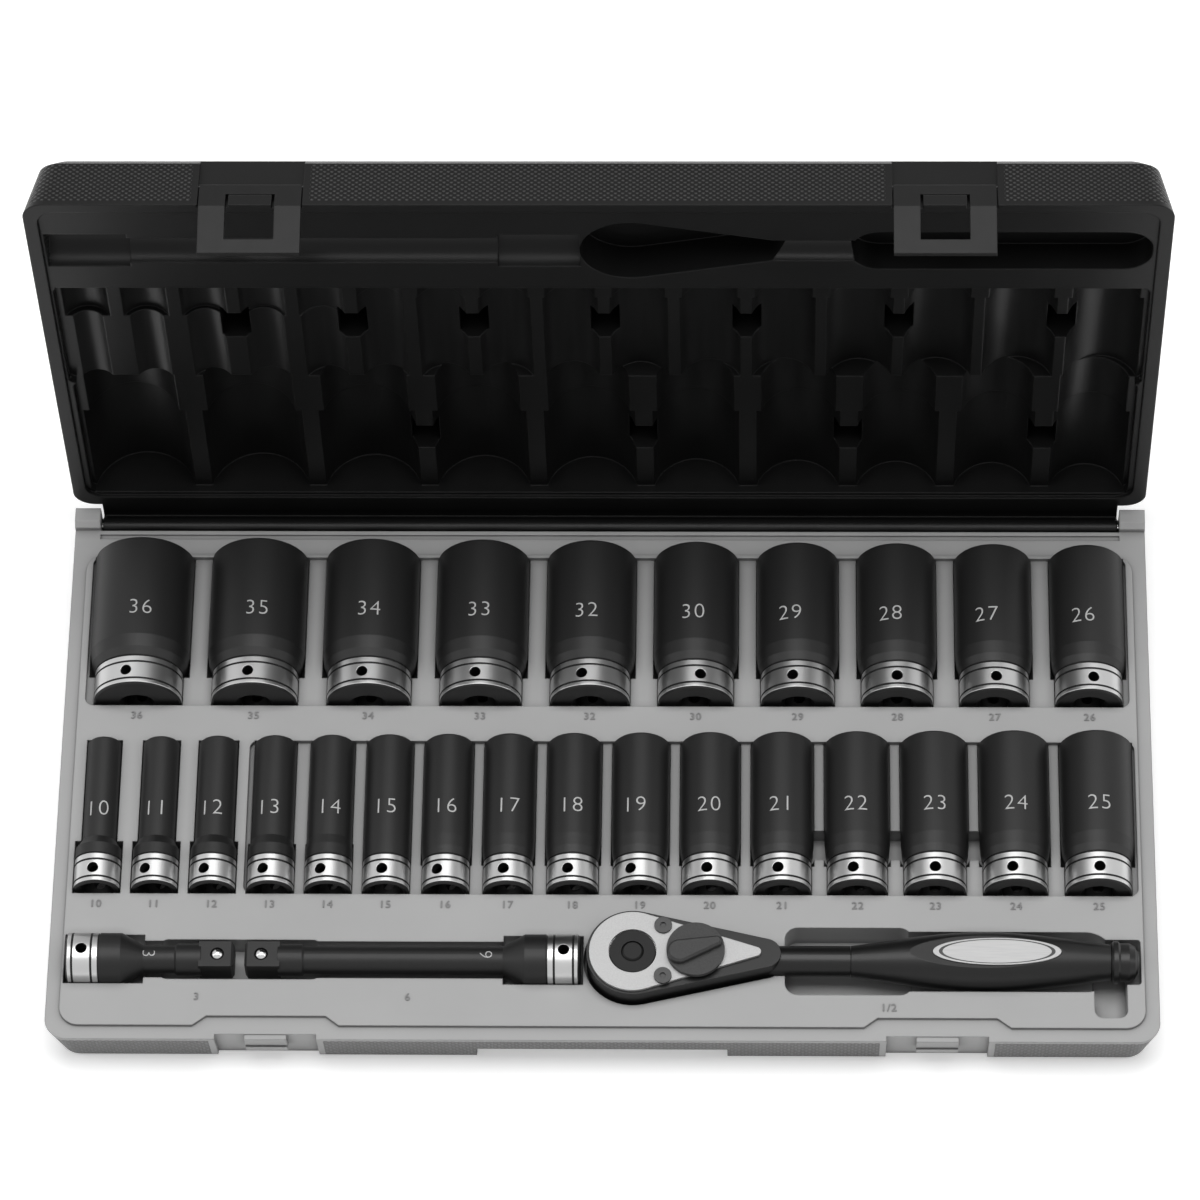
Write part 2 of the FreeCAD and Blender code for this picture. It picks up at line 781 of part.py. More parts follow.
def teardrop(centre, big, reach, small, height, turn=0.0):
    """Two circles, reach apart along X, joined by their tangents and raised by height."""
    lean = math.acos((big - small) / reach)

    def rim_point(middle, radius, angle):
        return at(middle + radius * math.cos(angle), radius * math.sin(angle), 0)

    big_ends = [rim_point(0, big, lean), rim_point(0, big, -lean)]
    small_ends = [rim_point(reach, small, -lean), rim_point(reach, small, lean)]
    edges = [Part.Arc(big_ends[0], at(-big, 0, 0), big_ends[1]).toShape(),
             Part.makeLine(big_ends[1], small_ends[0]),
             Part.Arc(small_ends[0], at(reach + small, 0, 0), small_ends[1]).toShape(),
             Part.makeLine(small_ends[1], big_ends[0])]
    drop = Part.Face(Part.Wire(edges)).extrude(Z * height)
    drop.rotate(at(0, 0, 0), Z, turn)
    drop.translate(centre)
    return drop


def head_drop(big, reach, small, z0, z1):
    """A teardrop about the ratchet's head centre, pointing along the handle."""
    return teardrop(at(head_x, front_axis_y, z0), big, reach, small, z1 - z0)


def head_rod(radius, z0, z1, along=0, aside=0):
    """An upright cylinder placed from the ratchet's head centre."""
    foot = at(head_x + along, front_axis_y + aside, z0)
    return rod(radius, foot, foot + Z * (z1 - z0))


def handle_rod(radius, start, end):
    """A cylinder on the handle's axis between two distances from the head centre."""
    foot = at(head_x + start, front_axis_y, handle_z)
    return rod(radius, foot, foot + X * (end - start))


def make_ratchet_body():
    """The forging: teardrop head with its gear and pawl chambers, neck and tang."""
    head = head_drop(head_radius, neck_end, neck_radius, head_bottom, head_top)
    head = head.makeFillet(head_edge, edges_at(head, head_bottom))
    neck = handle_rod(neck_radius, lever_at, grip_start - grip_end_gap)
    tang = handle_rod(tang_radius, lever_at, cap_start)
    over = head_top + overcut
    pawl_room = pawl_top + gear_play
    cuts = [head_rod(gear_radius + gear_play, gear_bottom - gear_play, over),
            head_rod(gear_hub + gear_play, head_bottom - overcut, gear_bottom),
            head_rod(ring_radius + pin_seat_play, head_top - ring_thickness, over),
            head_rod(lever_stem_radius + lever_play, stem_bottom - lever_play, over, lever_at),
            head_rod(pawl_boss_radius + pawl_rock, gear_bottom, pawl_room, pawl_pin_at),
            head_rod(pawl_pin_radius + pin_seat_play, pawl_pin_foot, pawl_pin_top, pawl_pin_at)]
    sweep = pawl_half_angle + pawl_end_room
    chamber = Part.makeCylinder(pawl_outer + pawl_rock, pawl_room - gear_bottom,
                                at(head_x, front_axis_y, gear_bottom), Z, 2 * sweep)
    chamber.rotate(at(head_x, front_axis_y, 0), Z, -sweep)
    cuts.append(chamber)
    for aside in (-screw_side, screw_side):
        cuts.append(head_rod(screw_shank_radius + screw_play, screw_foot, over, screw_at, aside))
    return head.fuse([neck, tang]).cut(cuts).removeSplitter()


def make_grip():
    """The soft sleeve on the tang: a waist, a full palm swell and a slim tail, flat on top."""
    axis_point = at(head_x, front_axis_y, handle_z)
    swell = (grip_waist_radius + grip_max_radius) / 2 + grip_fullness
    fade = (grip_tail_radius + grip_max_radius) / 2 + grip_tail_fullness
    profile = [(neck_radius, grip_start), (grip_waist_radius, grip_start + grip_lip),
               (swell, (grip_start + grip_lip + grip_max_at) / 2), (grip_max_radius, grip_max_at),
               (fade, (grip_max_at + grip_end) / 2), (grip_tail_radius, grip_end)]
    points = [axis_point + X * along + Z * radius for radius, along in profile]
    curve = Part.BSplineCurve()
    curve.interpolate(points)
    start = axis_point + X * grip_start
    end = axis_point + X * grip_end
    outline = [curve.toShape(), Part.makeLine(points[-1], end), Part.makeLine(end, start),
               Part.makeLine(start, points[0])]
    sleeve = Part.Face(Part.Wire(outline)).revolve(axis_point, X, 360)
    flat_z = handle_z + badge_flat
    half = 2 * grip_max_radius
    flat = box(start.x, end.x, front_axis_y - half, front_axis_y + half, flat_z, flat_z + half)
    seat = badge_disc(badge_play, flat_z - badge_inlay, flat_z + overcut)
    bore = handle_rod(tang_radius + tang_play, grip_start - overcut, grip_end + overcut)
    return sleeve.cut([bore, flat, seat])


def badge_disc(grow, z0, z1):
    """An upright oval plate over the palm swell."""
    centre = at(head_x + grip_max_at, front_axis_y, z0)
    oval = Part.Ellipse(centre, badge_length / 2 + grow, badge_width / 2 + grow)
    return Part.Face(Part.Wire(oval.toShape())).extrude(Z * (z1 - z0))


def make_badge():
    seat = handle_z + badge_flat - badge_inlay
    return badge_disc(0, seat, seat + badge_thickness)


def make_end_cap():
    """The flanged steel cap that closes the handle."""
    neck = end_cap_flange - end_cap_step
    last = cap_start + end_cap_length
    flange_end = cap_start + end_cap_flange_length
    profile = [(0, cap_start), (neck, cap_start), (end_cap_flange, cap_start + end_cap_step),
               (end_cap_flange, flange_end - end_cap_step), (neck, flange_end), (neck, last - end_cap_nose),
               (neck - end_cap_nose / 3, last - end_cap_nose / 3), (neck - end_cap_nose, last), (0, last)]
    return turned(profile, at(head_x, front_axis_y, handle_z), X, Z)


def make_cover_plate():
    """The satin teardrop plate over the head, holed for the gear hub, lever stem and screws."""
    plate = head_drop(plate_radius, plate_tip_at, plate_tip_radius, head_top, plate_top)
    over = plate_top + overcut
    cuts = [head_rod(gear_hub + plate_play, head_top, over),
            head_rod(lever_stem_radius + lever_play, head_top, over, lever_at)]
    for aside in (-screw_side, screw_side):
        cuts.append(head_rod(screw_shank_radius + screw_play, head_top, over, screw_at, aside))
    return plate.cut(cuts)


def make_cover_screws():
    screws = []
    crown = plate_top + screw_head_height
    for aside in (-screw_side, screw_side):
        head = head_rod(screw_head_radius, plate_top, crown, screw_at, aside)
        shank = head_rod(screw_shank_radius, screw_foot, plate_top, screw_at, aside)
        key_foot = at(head_x + screw_at, front_axis_y + aside, crown - screw_key_depth)
        corners = ring_of_points(key_foot, screw_key_across / math.sqrt(3), 6, X, Y)
        screws.append(head.fuse(shank).cut(prism(corners, Z * screw_head_height)).removeSplitter())
    return Part.makeCompound(screws)


def drive_ball_place():
    """Centre of the drive square's ball, on the face that looks to the case front."""
    depth = drive_square / 2 + drive_ball_proud - drive_ball_radius
    return at(head_x, front_axis_y - depth, drive_bottom + drive_ball_from_end)


def make_gear():
    """The ratchet wheel, its hubs and the male drive square, one forging."""
    centre = at(head_x, front_axis_y, gear_bottom)
    points = []
    for step in range(2 * gear_teeth):
        radius = gear_radius - gear_tooth * (step % 2)
        angle = math.pi * step / gear_teeth
        points.append(centre + X * (radius * math.cos(angle)) + Y * (radius * math.sin(angle)))
    wheel = prism(points, Z * (gear_top - gear_bottom))
    hubs = head_rod(gear_hub, head_bottom, hub_top)
    square = square_peg(at(head_x, front_axis_y, head_bottom + overcut), -Z, drive_length + overcut)
    ball = drive_ball_place()
    cuts = [head_rod(button_radius + button_play, spring_floor, hub_top + overcut),
            rod(drive_ball_radius + ball_play, ball + Y * (drive_ball_radius + drive_ball_push),
                ball - Y * (drive_ball_radius + overcut))]
    return wheel.fuse([hubs, square]).cut(cuts).removeSplitter()


def make_drive_ball():
    return Part.makeSphere(drive_ball_radius, drive_ball_place())


def make_button():
    """The quick release button: a round head on a short stem."""
    crown = hub_top + button_proud
    head_foot = crown - button_head_height
    bevel = button_bevel
    profile = [(0, button_foot), (button_stem_radius, button_foot), (button_stem_radius, head_foot),
               (button_radius, head_foot), (button_radius, crown - bevel), (button_radius - bevel, crown),
               (0, crown)]
    return turned(profile, at(head_x, front_axis_y, 0), Z, X)


def make_button_spring():
    """The spring round the button's stem, as a plain sleeve."""
    top = hub_top + button_proud - button_head_height
    inner = button_stem_radius + button_play
    return head_rod(inner + button_spring_wall, spring_floor, top).cut(head_rod(inner, spring_floor, top))


def make_retaining_ring():
    """The thin ring under the plate that keeps the gear in the head."""
    low = head_top - ring_thickness
    return head_rod(ring_radius, low, head_top).cut(head_rod(gear_hub + gear_play, low, head_top))


def make_pawl():
    """A curved pawl that rocks on its pin behind the gear."""
    low = gear_bottom + gear_play
    centre = at(head_x, front_axis_y, low)
    crescent = Part.makeCylinder(pawl_outer, pawl_thickness, centre, Z, 2 * pawl_half_angle)
    crescent.rotate(centre, Z, -pawl_half_angle)
    boss = head_rod(pawl_boss_radius, low, pawl_top, pawl_pin_at)
    cuts = [head_rod(pawl_inner, low, pawl_top),
            head_rod(pawl_pin_radius + pin_play, low, pawl_top, pawl_pin_at)]
    return crescent.fuse(boss).cut(cuts).removeSplitter()


def make_pawl_pin():
    return head_rod(pawl_pin_radius, pawl_pin_foot, pawl_pin_top, pawl_pin_at)


def make_lever():
    """The reversing lever: a disc on the plate with a teardrop thumb piece and a stem below."""
    low = plate_top + gear_play
    disc_top = low + lever_thickness
    disc = head_rod(lever_radius, low, disc_top, lever_at)
    stem = head_rod(lever_stem_radius, stem_bottom, low, lever_at)
    reach = lever_thumb_back + lever_thumb_front
    thumb = teardrop(at(0, 0, 0), lever_thumb_big, reach, lever_thumb_small, lever_thumb_height)
    thumb = thumb.makeChamfer(lever_thumb_bevel, edges_at(thumb, lever_thumb_height))
    thumb.translate(at(-lever_thumb_back, 0, 0))
    thumb.rotate(at(0, 0, 0), Z, lever_turn)
    thumb.translate(at(head_x + lever_at, front_axis_y, disc_top))
    return disc.fuse([stem, thumb]).removeSplitter()


def handle_slab(start, end, half, z0, z1, corner):
    """A rounded pocket round the handle's axis, between two distances from the head centre."""
    return slab(head_x + start, head_x + end, front_axis_y - half, front_axis_y + half, z0, z1, corner)


def ratchet_pockets():
    """Seats for the ratchet: head, handle, drive square and two finger wells."""
    side = pocket_side
    neck_room = neck_radius + seat_clearance
    well_floor = rim - finger_well_depth
    well_end = finger_well_start + finger_well_length
    end_x = head_x + end_well_start
    end_y = front_axis_y - end_well_width
    cap_floor = handle_z - end_cap_flange - seat_clearance
    grip_floor = handle_z - grip_max_radius - seat_clearance
    drive_floor = drive_bottom - seat_clearance
    return [head_drop(head_radius + side, neck_end, neck_radius + side, head_bottom - seat_clearance,
                      above),
            head_rod(drive_square * math.sqrt(0.5) + side, drive_floor, above),
            front_trough(handle_z, neck_room, head_x + neck_end, head_x + grip_start, above),
            handle_slab(grip_start - side, cap_start + side, grip_max_radius + side, grip_floor, above,
                        grip_pocket_corner),
            handle_slab(grip_max_at, cap_start + end_cap_length + side, end_cap_flange + side, cap_floor,
                        above, side),
            handle_slab(finger_well_start, well_end, finger_well_width / 2, well_floor, above,
                        finger_well_corner),
            slab(end_x, end_x + end_well_length, end_y, front_axis_y, well_floor, above, row_corner)]


def ratchet_channels():
    """Room for the ratchet in the closed lid."""
    side = pocket_side
    neck_room = neck_radius + lid_clearance
    thumb_top = plate_top + gear_play + lever_thickness + lever_thumb_height
    roof = thumb_top + lid_clearance
    return [head_drop(head_radius + side, neck_end, neck_radius + side, rim, roof),
            head_rod(lever_radius + side, rim, roof, lever_at),
            front_trough(handle_z, neck_room, head_x + neck_end, head_x + grip_start, -above),
            handle_slab(grip_start - side, cap_start + end_cap_length + side, grip_max_radius + side, rim,
                        handle_z + grip_max_radius + lid_clearance, grip_pocket_corner)]


def opened(shape):
    """A closed lid piece swung up about the hinge to where it stands open."""
    moved = shape.copy()
    moved.rotate(at(0, hinge_y, hinge_z), X, -lid_open_angle)
    return moved


def build():
    nodes = {"case_base": make_base(), "hinge_pin": make_hinge_pin(), "case_lid": opened(make_lid()),
             "latch_pins": opened(make_latch_pins())}
    for side, x in latch_places.items():
        nodes["latch_" + side] = opened(make_latch(x))
    for size, x, drive_y, roll in sockets:
        nodes["socket_%dmm" % size] = make_socket(size, roll, x, drive_y)
    for name, drive_x, tip_x in bars:
        nodes[name] = make_bar(drive_x, tip_x)
        nodes[name + "_ball"] = make_ball(drive_x, tip_x)
        nodes[name + "_spring"] = make_ball_spring(drive_x, tip_x)
    nodes["ratchet_body"] = make_ratchet_body()
    nodes["handle_grip"] = make_grip()
    nodes["grip_badge"] = make_badge()
    nodes["handle_end_cap"] = make_end_cap()
    nodes["head_cover_plate"] = make_cover_plate()
    nodes["cover_screws"] = make_cover_screws()
    nodes["retaining_ring"] = make_retaining_ring()
    nodes["drive_gear"] = make_gear()
    nodes["drive_ball"] = make_drive_ball()
    nodes["quick_release_button"] = make_button()
    nodes["button_spring"] = make_button_spring()
    nodes["pawl"] = make_pawl()
    nodes["pawl_pin"] = make_pawl_pin()
    nodes["reversing_lever"] = make_lever()
    return nodes


os.makedirs("parts", exist_ok=True)
for node, shape in build().items():
    shape.exportStep("parts/%s.step" % node)
    print(node, len(shape.Solids), shape.isValid(), round(shape.Volume, 1))
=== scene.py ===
# %% [markdown]
# # A half inch drive socket set in its moulded case
# The solids give every piece its size and place. This lesson dresses them: moulded plastics with a knurled
# skin, black steel with bright turned bands, etched numerals, and the studio that shows them. Every length
# is in metres and is read from the solids where it can be, so that the dress follows the solids.

# %% Load the solids
import json
import math
import bpy
from mathutils import Matrix, Vector


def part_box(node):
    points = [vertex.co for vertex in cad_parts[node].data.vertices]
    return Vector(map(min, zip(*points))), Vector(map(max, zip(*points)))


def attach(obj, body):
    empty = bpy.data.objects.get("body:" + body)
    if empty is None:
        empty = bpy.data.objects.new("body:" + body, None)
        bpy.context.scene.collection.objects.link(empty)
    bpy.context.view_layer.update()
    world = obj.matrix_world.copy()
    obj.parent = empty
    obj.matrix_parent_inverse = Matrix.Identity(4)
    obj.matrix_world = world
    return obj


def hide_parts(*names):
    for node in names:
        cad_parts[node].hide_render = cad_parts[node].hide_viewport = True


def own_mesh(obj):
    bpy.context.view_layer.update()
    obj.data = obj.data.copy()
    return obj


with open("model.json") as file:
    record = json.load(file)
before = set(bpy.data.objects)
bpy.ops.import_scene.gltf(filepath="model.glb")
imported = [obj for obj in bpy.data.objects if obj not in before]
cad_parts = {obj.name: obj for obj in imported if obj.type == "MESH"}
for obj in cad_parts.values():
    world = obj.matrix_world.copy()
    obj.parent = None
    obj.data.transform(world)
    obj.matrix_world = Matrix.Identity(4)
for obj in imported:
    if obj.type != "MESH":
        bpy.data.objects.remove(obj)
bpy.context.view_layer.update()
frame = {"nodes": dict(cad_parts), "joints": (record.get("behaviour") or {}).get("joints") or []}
nodes = frame["nodes"]
mm = 0.001

# %% [markdown]
# A few measures serve the whole lesson: the base's rim, the hinge and the lid's rim plane. They come from the
# solids' own corners and from the joints. Only three small steps that no corner gives are written here: from
# the hinge up to the rim, from the rim up to the panel, and the gap under the closed lid.

# %% Measures read from the solids
base_low, base_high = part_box("case_base")
lid_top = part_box("case_lid")[1].z
joint_places = {joint["name"]: Vector(joint["pos_m"]) for joint in frame["joints"] if "pos_m" in joint}
hinge = joint_places["lid_hinge"]
half_width = base_high.x
front_edge = base_low.y
hinge_drop = 5.0 * mm
panel_rise = 1.5 * mm
lid_gap = 0.3 * mm
rim = hinge.z + hinge_drop
panel_top = rim + panel_rise
lid_rim_plane = hinge.y + hinge_drop + lid_gap
latch_x = (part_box("latch_right")[0].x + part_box("latch_right")[1].x) / 2
print("rim at %.1f mm, lid rim plane at %.1f mm" % (rim / mm, lid_rim_plane / mm))

# %% [markdown]
# Colours are written as they look on a screen and turned to linear light by one function. One more function
# adds a shader node, with its settings and with what feeds each of its sockets. The short functions after it
# add the kinds of node that come up again and again, and give back the output that is wanted.

# %% Colours and nodes
def linear(colour):
    """Turns an sRGB hex colour into linear red, green, blue and alpha."""
    channels = [int(colour[start:start + 2], 16) / 255 for start in (1, 3, 5)]
    return [c / 12.92 if c <= 0.04045 else ((c + 0.055) / 1.055) ** 2.4 for c in channels] + [1.0]


def add(tree, kind, settings=None, feeds=None):
    """Adds a node. A feed is a plain value, or another node's output to link."""
    node = tree.nodes.new(kind)
    for name, value in (settings or {}).items():
        setattr(node, name, value)
    for name, value in (feeds or {}).items():
        if isinstance(value, bpy.types.NodeSocket):
            tree.links.new(value, node.inputs[name])
        else:
            node.inputs[name].default_value = value
    return node


def reckon(tree, operation, *values, clamp=False):
    """One step of arithmetic."""
    settings = {"operation": operation, "use_clamp": clamp}
    return add(tree, "ShaderNodeMath", settings, dict(enumerate(values))).outputs[0]


def mixed(tree, share, first, second):
    """A colour between two others."""
    return add(tree, "ShaderNodeMix", {"data_type": "RGBA"}, {0: share, 6: first, 7: second}).outputs[2]


def noise(tree, spot, size, detail):
    """A noise whose grains have that size."""
    feeds = {"Vector": spot, "Scale": 1 / size, "Detail": detail}
    return add(tree, "ShaderNodeTexNoise", None, feeds).outputs["Fac"]


def rescaled(tree, value, low, high):
    """A value from 0 to 1, spread from low to high."""
    return add(tree, "ShaderNodeMapRange", None, {"Value": value, "To Min": low, "To Max": high}).outputs[0]


def bumped(tree, strength, depth, height, normal):
    """A bump on top of another normal."""
    feeds = {"Strength": strength, "Distance": depth, "Height": height, "Normal": normal}
    return add(tree, "ShaderNodeBump", None, feeds).outputs["Normal"]


def rounded(tree, radius, samples):
    """The normal of a shape whose sharp edges are rounded."""
    return add(tree, "ShaderNodeBevel", {"samples": samples}, {"Radius": radius}).outputs["Normal"]


def feed_shader(tree, shader, colour, roughness, normal):
    """Links what every finish here has."""
    tree.links.new(colour, shader.inputs["Base Color"])
    tree.links.new(roughness, shader.inputs["Roughness"])
    tree.links.new(normal, shader.inputs["Normal"])


def start_material(name):
    """A material with its node tree and shader, and the coordinates that every pattern here reads."""
    material = bpy.data.materials.new(name)
    material.use_nodes = True
    tree = material.node_tree
    shader = tree.nodes["Principled BSDF"]
    place = add(tree, "ShaderNodeTexCoord")
    return material, tree, shader, place


def dress(material, *names):
    """Gives solids a material in place of the plain one they came with."""
    for name in names:
        nodes[name].data.materials.clear()
        nodes[name].data.materials.append(material)


print("near black:", [round(c, 4) for c in linear("#1A1A1A")])

# %% [markdown]
# Both case halves are blow-moulded polyethylene: a soft orange peel on the broad faces, and a knurl of small
# staggered diamonds on the outer walls, cut into the mould so that scratches don't show. The knurl could be
# modelled, but at thousands of dots a bump pattern is lighter and looks the same. Two cosines multiplied give
# the staggered dots. A mask keeps them on the outer walls: near the outline, away from the rim and the
# latches, and where the face stands upright. The Bevel node rounds the light on the mould's sharp edges, and
# Ambient Occlusion mixes in a painted shade, darkening the plastic in the corners beside the tools. The
# knurl's hollows get painted shade too, and its tips a painted highlight.

# %% Moulded polyethylene
knurl_across = 3.2 * mm
knurl_along = 2.6 * mm
wall_band = 8.0 * mm
rim_smooth = 2.6 * mm
latch_smooth = 26.0 * mm
mould_edge = 0.9 * mm
painted_corner_shade_reach = 5.0 * mm
orange_peel = 1.1 * mm
peel_depth = 0.2 * mm
knurl_height = 0.9 * mm
patch_size = 45 * mm
steep = 0.6
gloss_spread = 0.05
peel_strength = 0.10


def moulded(name, tones, roughness, specular, depth_axis, outline_axis, depth_mask, outline_limit):
    """Polyethylene with knurled walls. The depth axis runs from the rim to the outer face."""
    material, tree, shader, place = start_material(name)
    spot = place.outputs["Object"]
    where = add(tree, "ShaderNodeSeparateXYZ", None, {0: spot}).outputs
    facing = add(tree, "ShaderNodeSeparateXYZ", None, {0: place.outputs["Normal"]}).outputs
    side_x = reckon(tree, "ABSOLUTE", where["X"])
    on_side = reckon(tree, "GREATER_THAN", side_x, half_width - wall_band)
    comparison, limit = outline_limit
    on_front = reckon(tree, comparison, where[outline_axis], limit)
    comparison, limit = depth_mask
    off_rim = reckon(tree, comparison, where[depth_axis], limit)
    upright = reckon(tree, "LESS_THAN", reckon(tree, "ABSOLUTE", facing[depth_axis]), steep)
    latch_gap = reckon(tree, "ABSOLUTE", reckon(tree, "SUBTRACT", side_x, latch_x))
    off_latch = reckon(tree, "GREATER_THAN", latch_gap, latch_smooth)
    mask = reckon(tree, "MAXIMUM", on_side, on_front)
    for part in (off_rim, upright, off_latch):
        mask = reckon(tree, "MULTIPLY", mask, part)
    side_wall = reckon(tree, "GREATER_THAN", reckon(tree, "ABSOLUTE", facing["X"]), steep)
    run = add(tree, "ShaderNodeMix", {"data_type": "FLOAT"},
              {0: side_wall, 2: where["X"], 3: where[outline_axis]}).outputs[0]
    waves = []
    for distance, pitch in ((run, knurl_across), (where[depth_axis], knurl_along)):
        waves.append(reckon(tree, "COSINE", reckon(tree, "MULTIPLY", distance, 2 * math.pi / pitch)))
    dots = reckon(tree, "MULTIPLY", *waves, clamp=True)
    knurl = reckon(tree, "MULTIPLY", dots, mask)
    peel = noise(tree, spot, orange_peel, 2.0)
    skin = bumped(tree, peel_strength, peel_depth, peel, rounded(tree, mould_edge, 4))
    relief = bumped(tree, 1.0, knurl_height, knurl, skin)
    face, other_face, painted_corner_shade, painted_hollow_shade, painted_tip_highlight = [linear(tone) for tone in tones]
    patch = noise(tree, spot, patch_size, 3.0)
    # Painted shade in the knurl's hollows and painted highlight on its tips, set by the dots' height
    walled = mixed(tree, mask, mixed(tree, patch, face, other_face), mixed(tree, dots, painted_hollow_shade, painted_tip_highlight))
    # Painted shade: where Ambient Occlusion finds a corner closed in, the colour goes to a darker tone
    air = add(tree, "ShaderNodeAmbientOcclusion", {"samples": 8}, {"Distance": painted_corner_shade_reach}).outputs["AO"]
    gloss = rescaled(tree, patch, roughness - gloss_spread, roughness + gloss_spread)
    feed_shader(tree, shader, mixed(tree, air, painted_corner_shade, walled), gloss, relief)
    shader.inputs["Specular IOR Level"].default_value = specular
    return material


# Tones in order: the two of the broad faces, painted shade in the corners, painted shade in the knurl's
# hollows and painted highlight on its tips
grey_tones = ("#989898", "#A2A2A2", "#3E3E3E", "#585858", "#929292")
black_tones = ("#0E0E0E", "#131313", "#060606", "#0A0A0A", "#464646")
grey_polyethylene = moulded("grey_polyethylene", grey_tones, 0.46, 0.4, "Z", "Y",
                            ("LESS_THAN", rim - rim_smooth), ("LESS_THAN", front_edge + wall_band))
black_polyethylene = moulded("black_polyethylene", black_tones, 0.34, 0.16, "Y", "Z",
                             ("GREATER_THAN", lid_rim_plane + rim_smooth),
                             ("GREATER_THAN", lid_top - wall_band))
dress(grey_polyethylene, "case_base")
dress(black_polyethylene, "case_lid")
print("moulded finishes made")

# %% [markdown]
# The sockets are forged steel under a black phosphate coat, which is a fine crystal skin and nearly matt. The
# drive end is turned bright after coating. The bright steel shows only on the outermost skin of the band, so
# its two grooves, the cross hole and the end face stay black. A mask by distance from the socket's own axis
# gives just that, and it needs each socket's own axis, so a loop makes one finish for each socket.

# %% Black phosphate steel with a bright turned band
band_length = 14.5 * mm
groove_floor = 0.2 * mm
groove_middle = 7.25 * mm
groove_reach = 4.35 * mm
groove_line = 0.52 * mm
turning_pitch = 0.9 * mm
crystal = 0.5 * mm
crystal_depth = 0.1 * mm
crystal_strength = 0.12
turning_depth = 0.05 * mm
turning_strength = 0.03
steel_edge = 0.25 * mm
coat_tones = ("#141414", "#1D1D1D")
band_tone = "#BEBEBE"
coat_specular = 0.3
coat_roughness = 0.46
band_roughness = 0.32


def band_radius(node, along, start, centre):
    """Largest distance from the axis among the corners that lie within the band."""
    across = 1 - along
    reach = 0.0
    for corner in nodes[node].data.vertices:
        if abs(corner.co[along] - start) < band_length:
            reach = max(reach, math.hypot(corner.co[across] - centre[0], corner.co.z - centre[1]))
    return reach


def phosphate_steel(name, along, start, way, centre, radius):
    """Black steel along X (0) or Y (1), bright on the skin of the band that begins at start."""
    material, tree, shader, place = start_material(name)
    spot = place.outputs["Object"]
    where = add(tree, "ShaderNodeSeparateXYZ", None, {0: spot}).outputs
    axis_place = [0.0, 0.0, centre[1]]
    axis_place[1 - along] = centre[0]
    flat = [1.0, 1.0, 1.0]
    flat[along] = 0.0
    offset = add(tree, "ShaderNodeVectorMath", {"operation": "SUBTRACT"}, {0: spot, 1: axis_place}).outputs[0]
    spoke = add(tree, "ShaderNodeVectorMath", {"operation": "MULTIPLY"}, {0: offset, 1: flat}).outputs[0]
    distance = add(tree, "ShaderNodeVectorMath", {"operation": "LENGTH"}, {0: spoke}).outputs["Value"]
    skin = reckon(tree, "GREATER_THAN", distance, radius - groove_floor)
    inward = reckon(tree, "MULTIPLY", reckon(tree, "SUBTRACT", where[along], start), way)
    in_band = reckon(tree, "LESS_THAN", inward, band_length)
    # The two grooves lie evenly about the middle of the band, so one fold of the distance finds both
    folded = reckon(tree, "ABSOLUTE", reckon(tree, "SUBTRACT", inward, groove_middle))
    from_groove = reckon(tree, "ABSOLUTE", reckon(tree, "SUBTRACT", folded, groove_reach))
    off_groove = reckon(tree, "GREATER_THAN", from_groove, groove_line)
    bright = reckon(tree, "MULTIPLY", reckon(tree, "MULTIPLY", skin, in_band), off_groove)
    grain = noise(tree, spot, crystal, 3.0)
    coat = mixed(tree, grain, linear(coat_tones[0]), linear(coat_tones[1]))
    colour = mixed(tree, bright, coat, linear(band_tone))
    crystals = reckon(tree, "MULTIPLY", grain, reckon(tree, "SUBTRACT", 1.0, bright))
    pitted = bumped(tree, crystal_strength, crystal_depth, crystals, rounded(tree, steel_edge, 8))
    # Real turning marks are finer than a pixel here, so these lie far enough apart to show at all
    ripple = reckon(tree, "SINE", reckon(tree, "MULTIPLY", where[along], 2 * math.pi / turning_pitch))
    marks = reckon(tree, "MULTIPLY", ripple, bright)
    turned = bumped(tree, turning_strength, turning_depth, marks, pitted)
    feed_shader(tree, shader, colour, rescaled(tree, bright, coat_roughness, band_roughness), turned)
    tree.links.new(bright, shader.inputs["Metallic"])
    shader.inputs["Specular IOR Level"].default_value = coat_specular
    return material


socket_names = sorted(name for name in nodes if name.startswith("socket_"))
sockets = {}
for name in socket_names:
    low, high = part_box(name)
    centre = ((low.x + high.x) / 2, (low.z + high.z) / 2)
    radius = band_radius(name, 1, low.y, centre)
    dress(phosphate_steel("phosphate_" + name, 1, low.y, 1, centre, radius), name)
    sockets[name] = (centre, low.y, high.y)
for name, female_end_left in (("extension_3in", True), ("extension_6in", False)):
    low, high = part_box(name)
    centre = ((low.y + high.y) / 2, (low.z + high.z) / 2)
    start = low.x if female_end_left else high.x
    radius = band_radius(name, 0, start, centre)
    way = 1 if female_end_left else -1
    dress(phosphate_steel("phosphate_" + name, 0, start, way, centre, radius), name)
print("sockets dressed:", len(sockets))

# %% [markdown]
# The other metals and plastics are plainer. Each has a fine grain of its own and a little variation in gloss,
# and one function makes them from their colours, a grain size in millimetres and how strongly it shows.

# %% Grained finishes
grain_depth = 0.1 * mm
grain_gloss_spread = 0.06


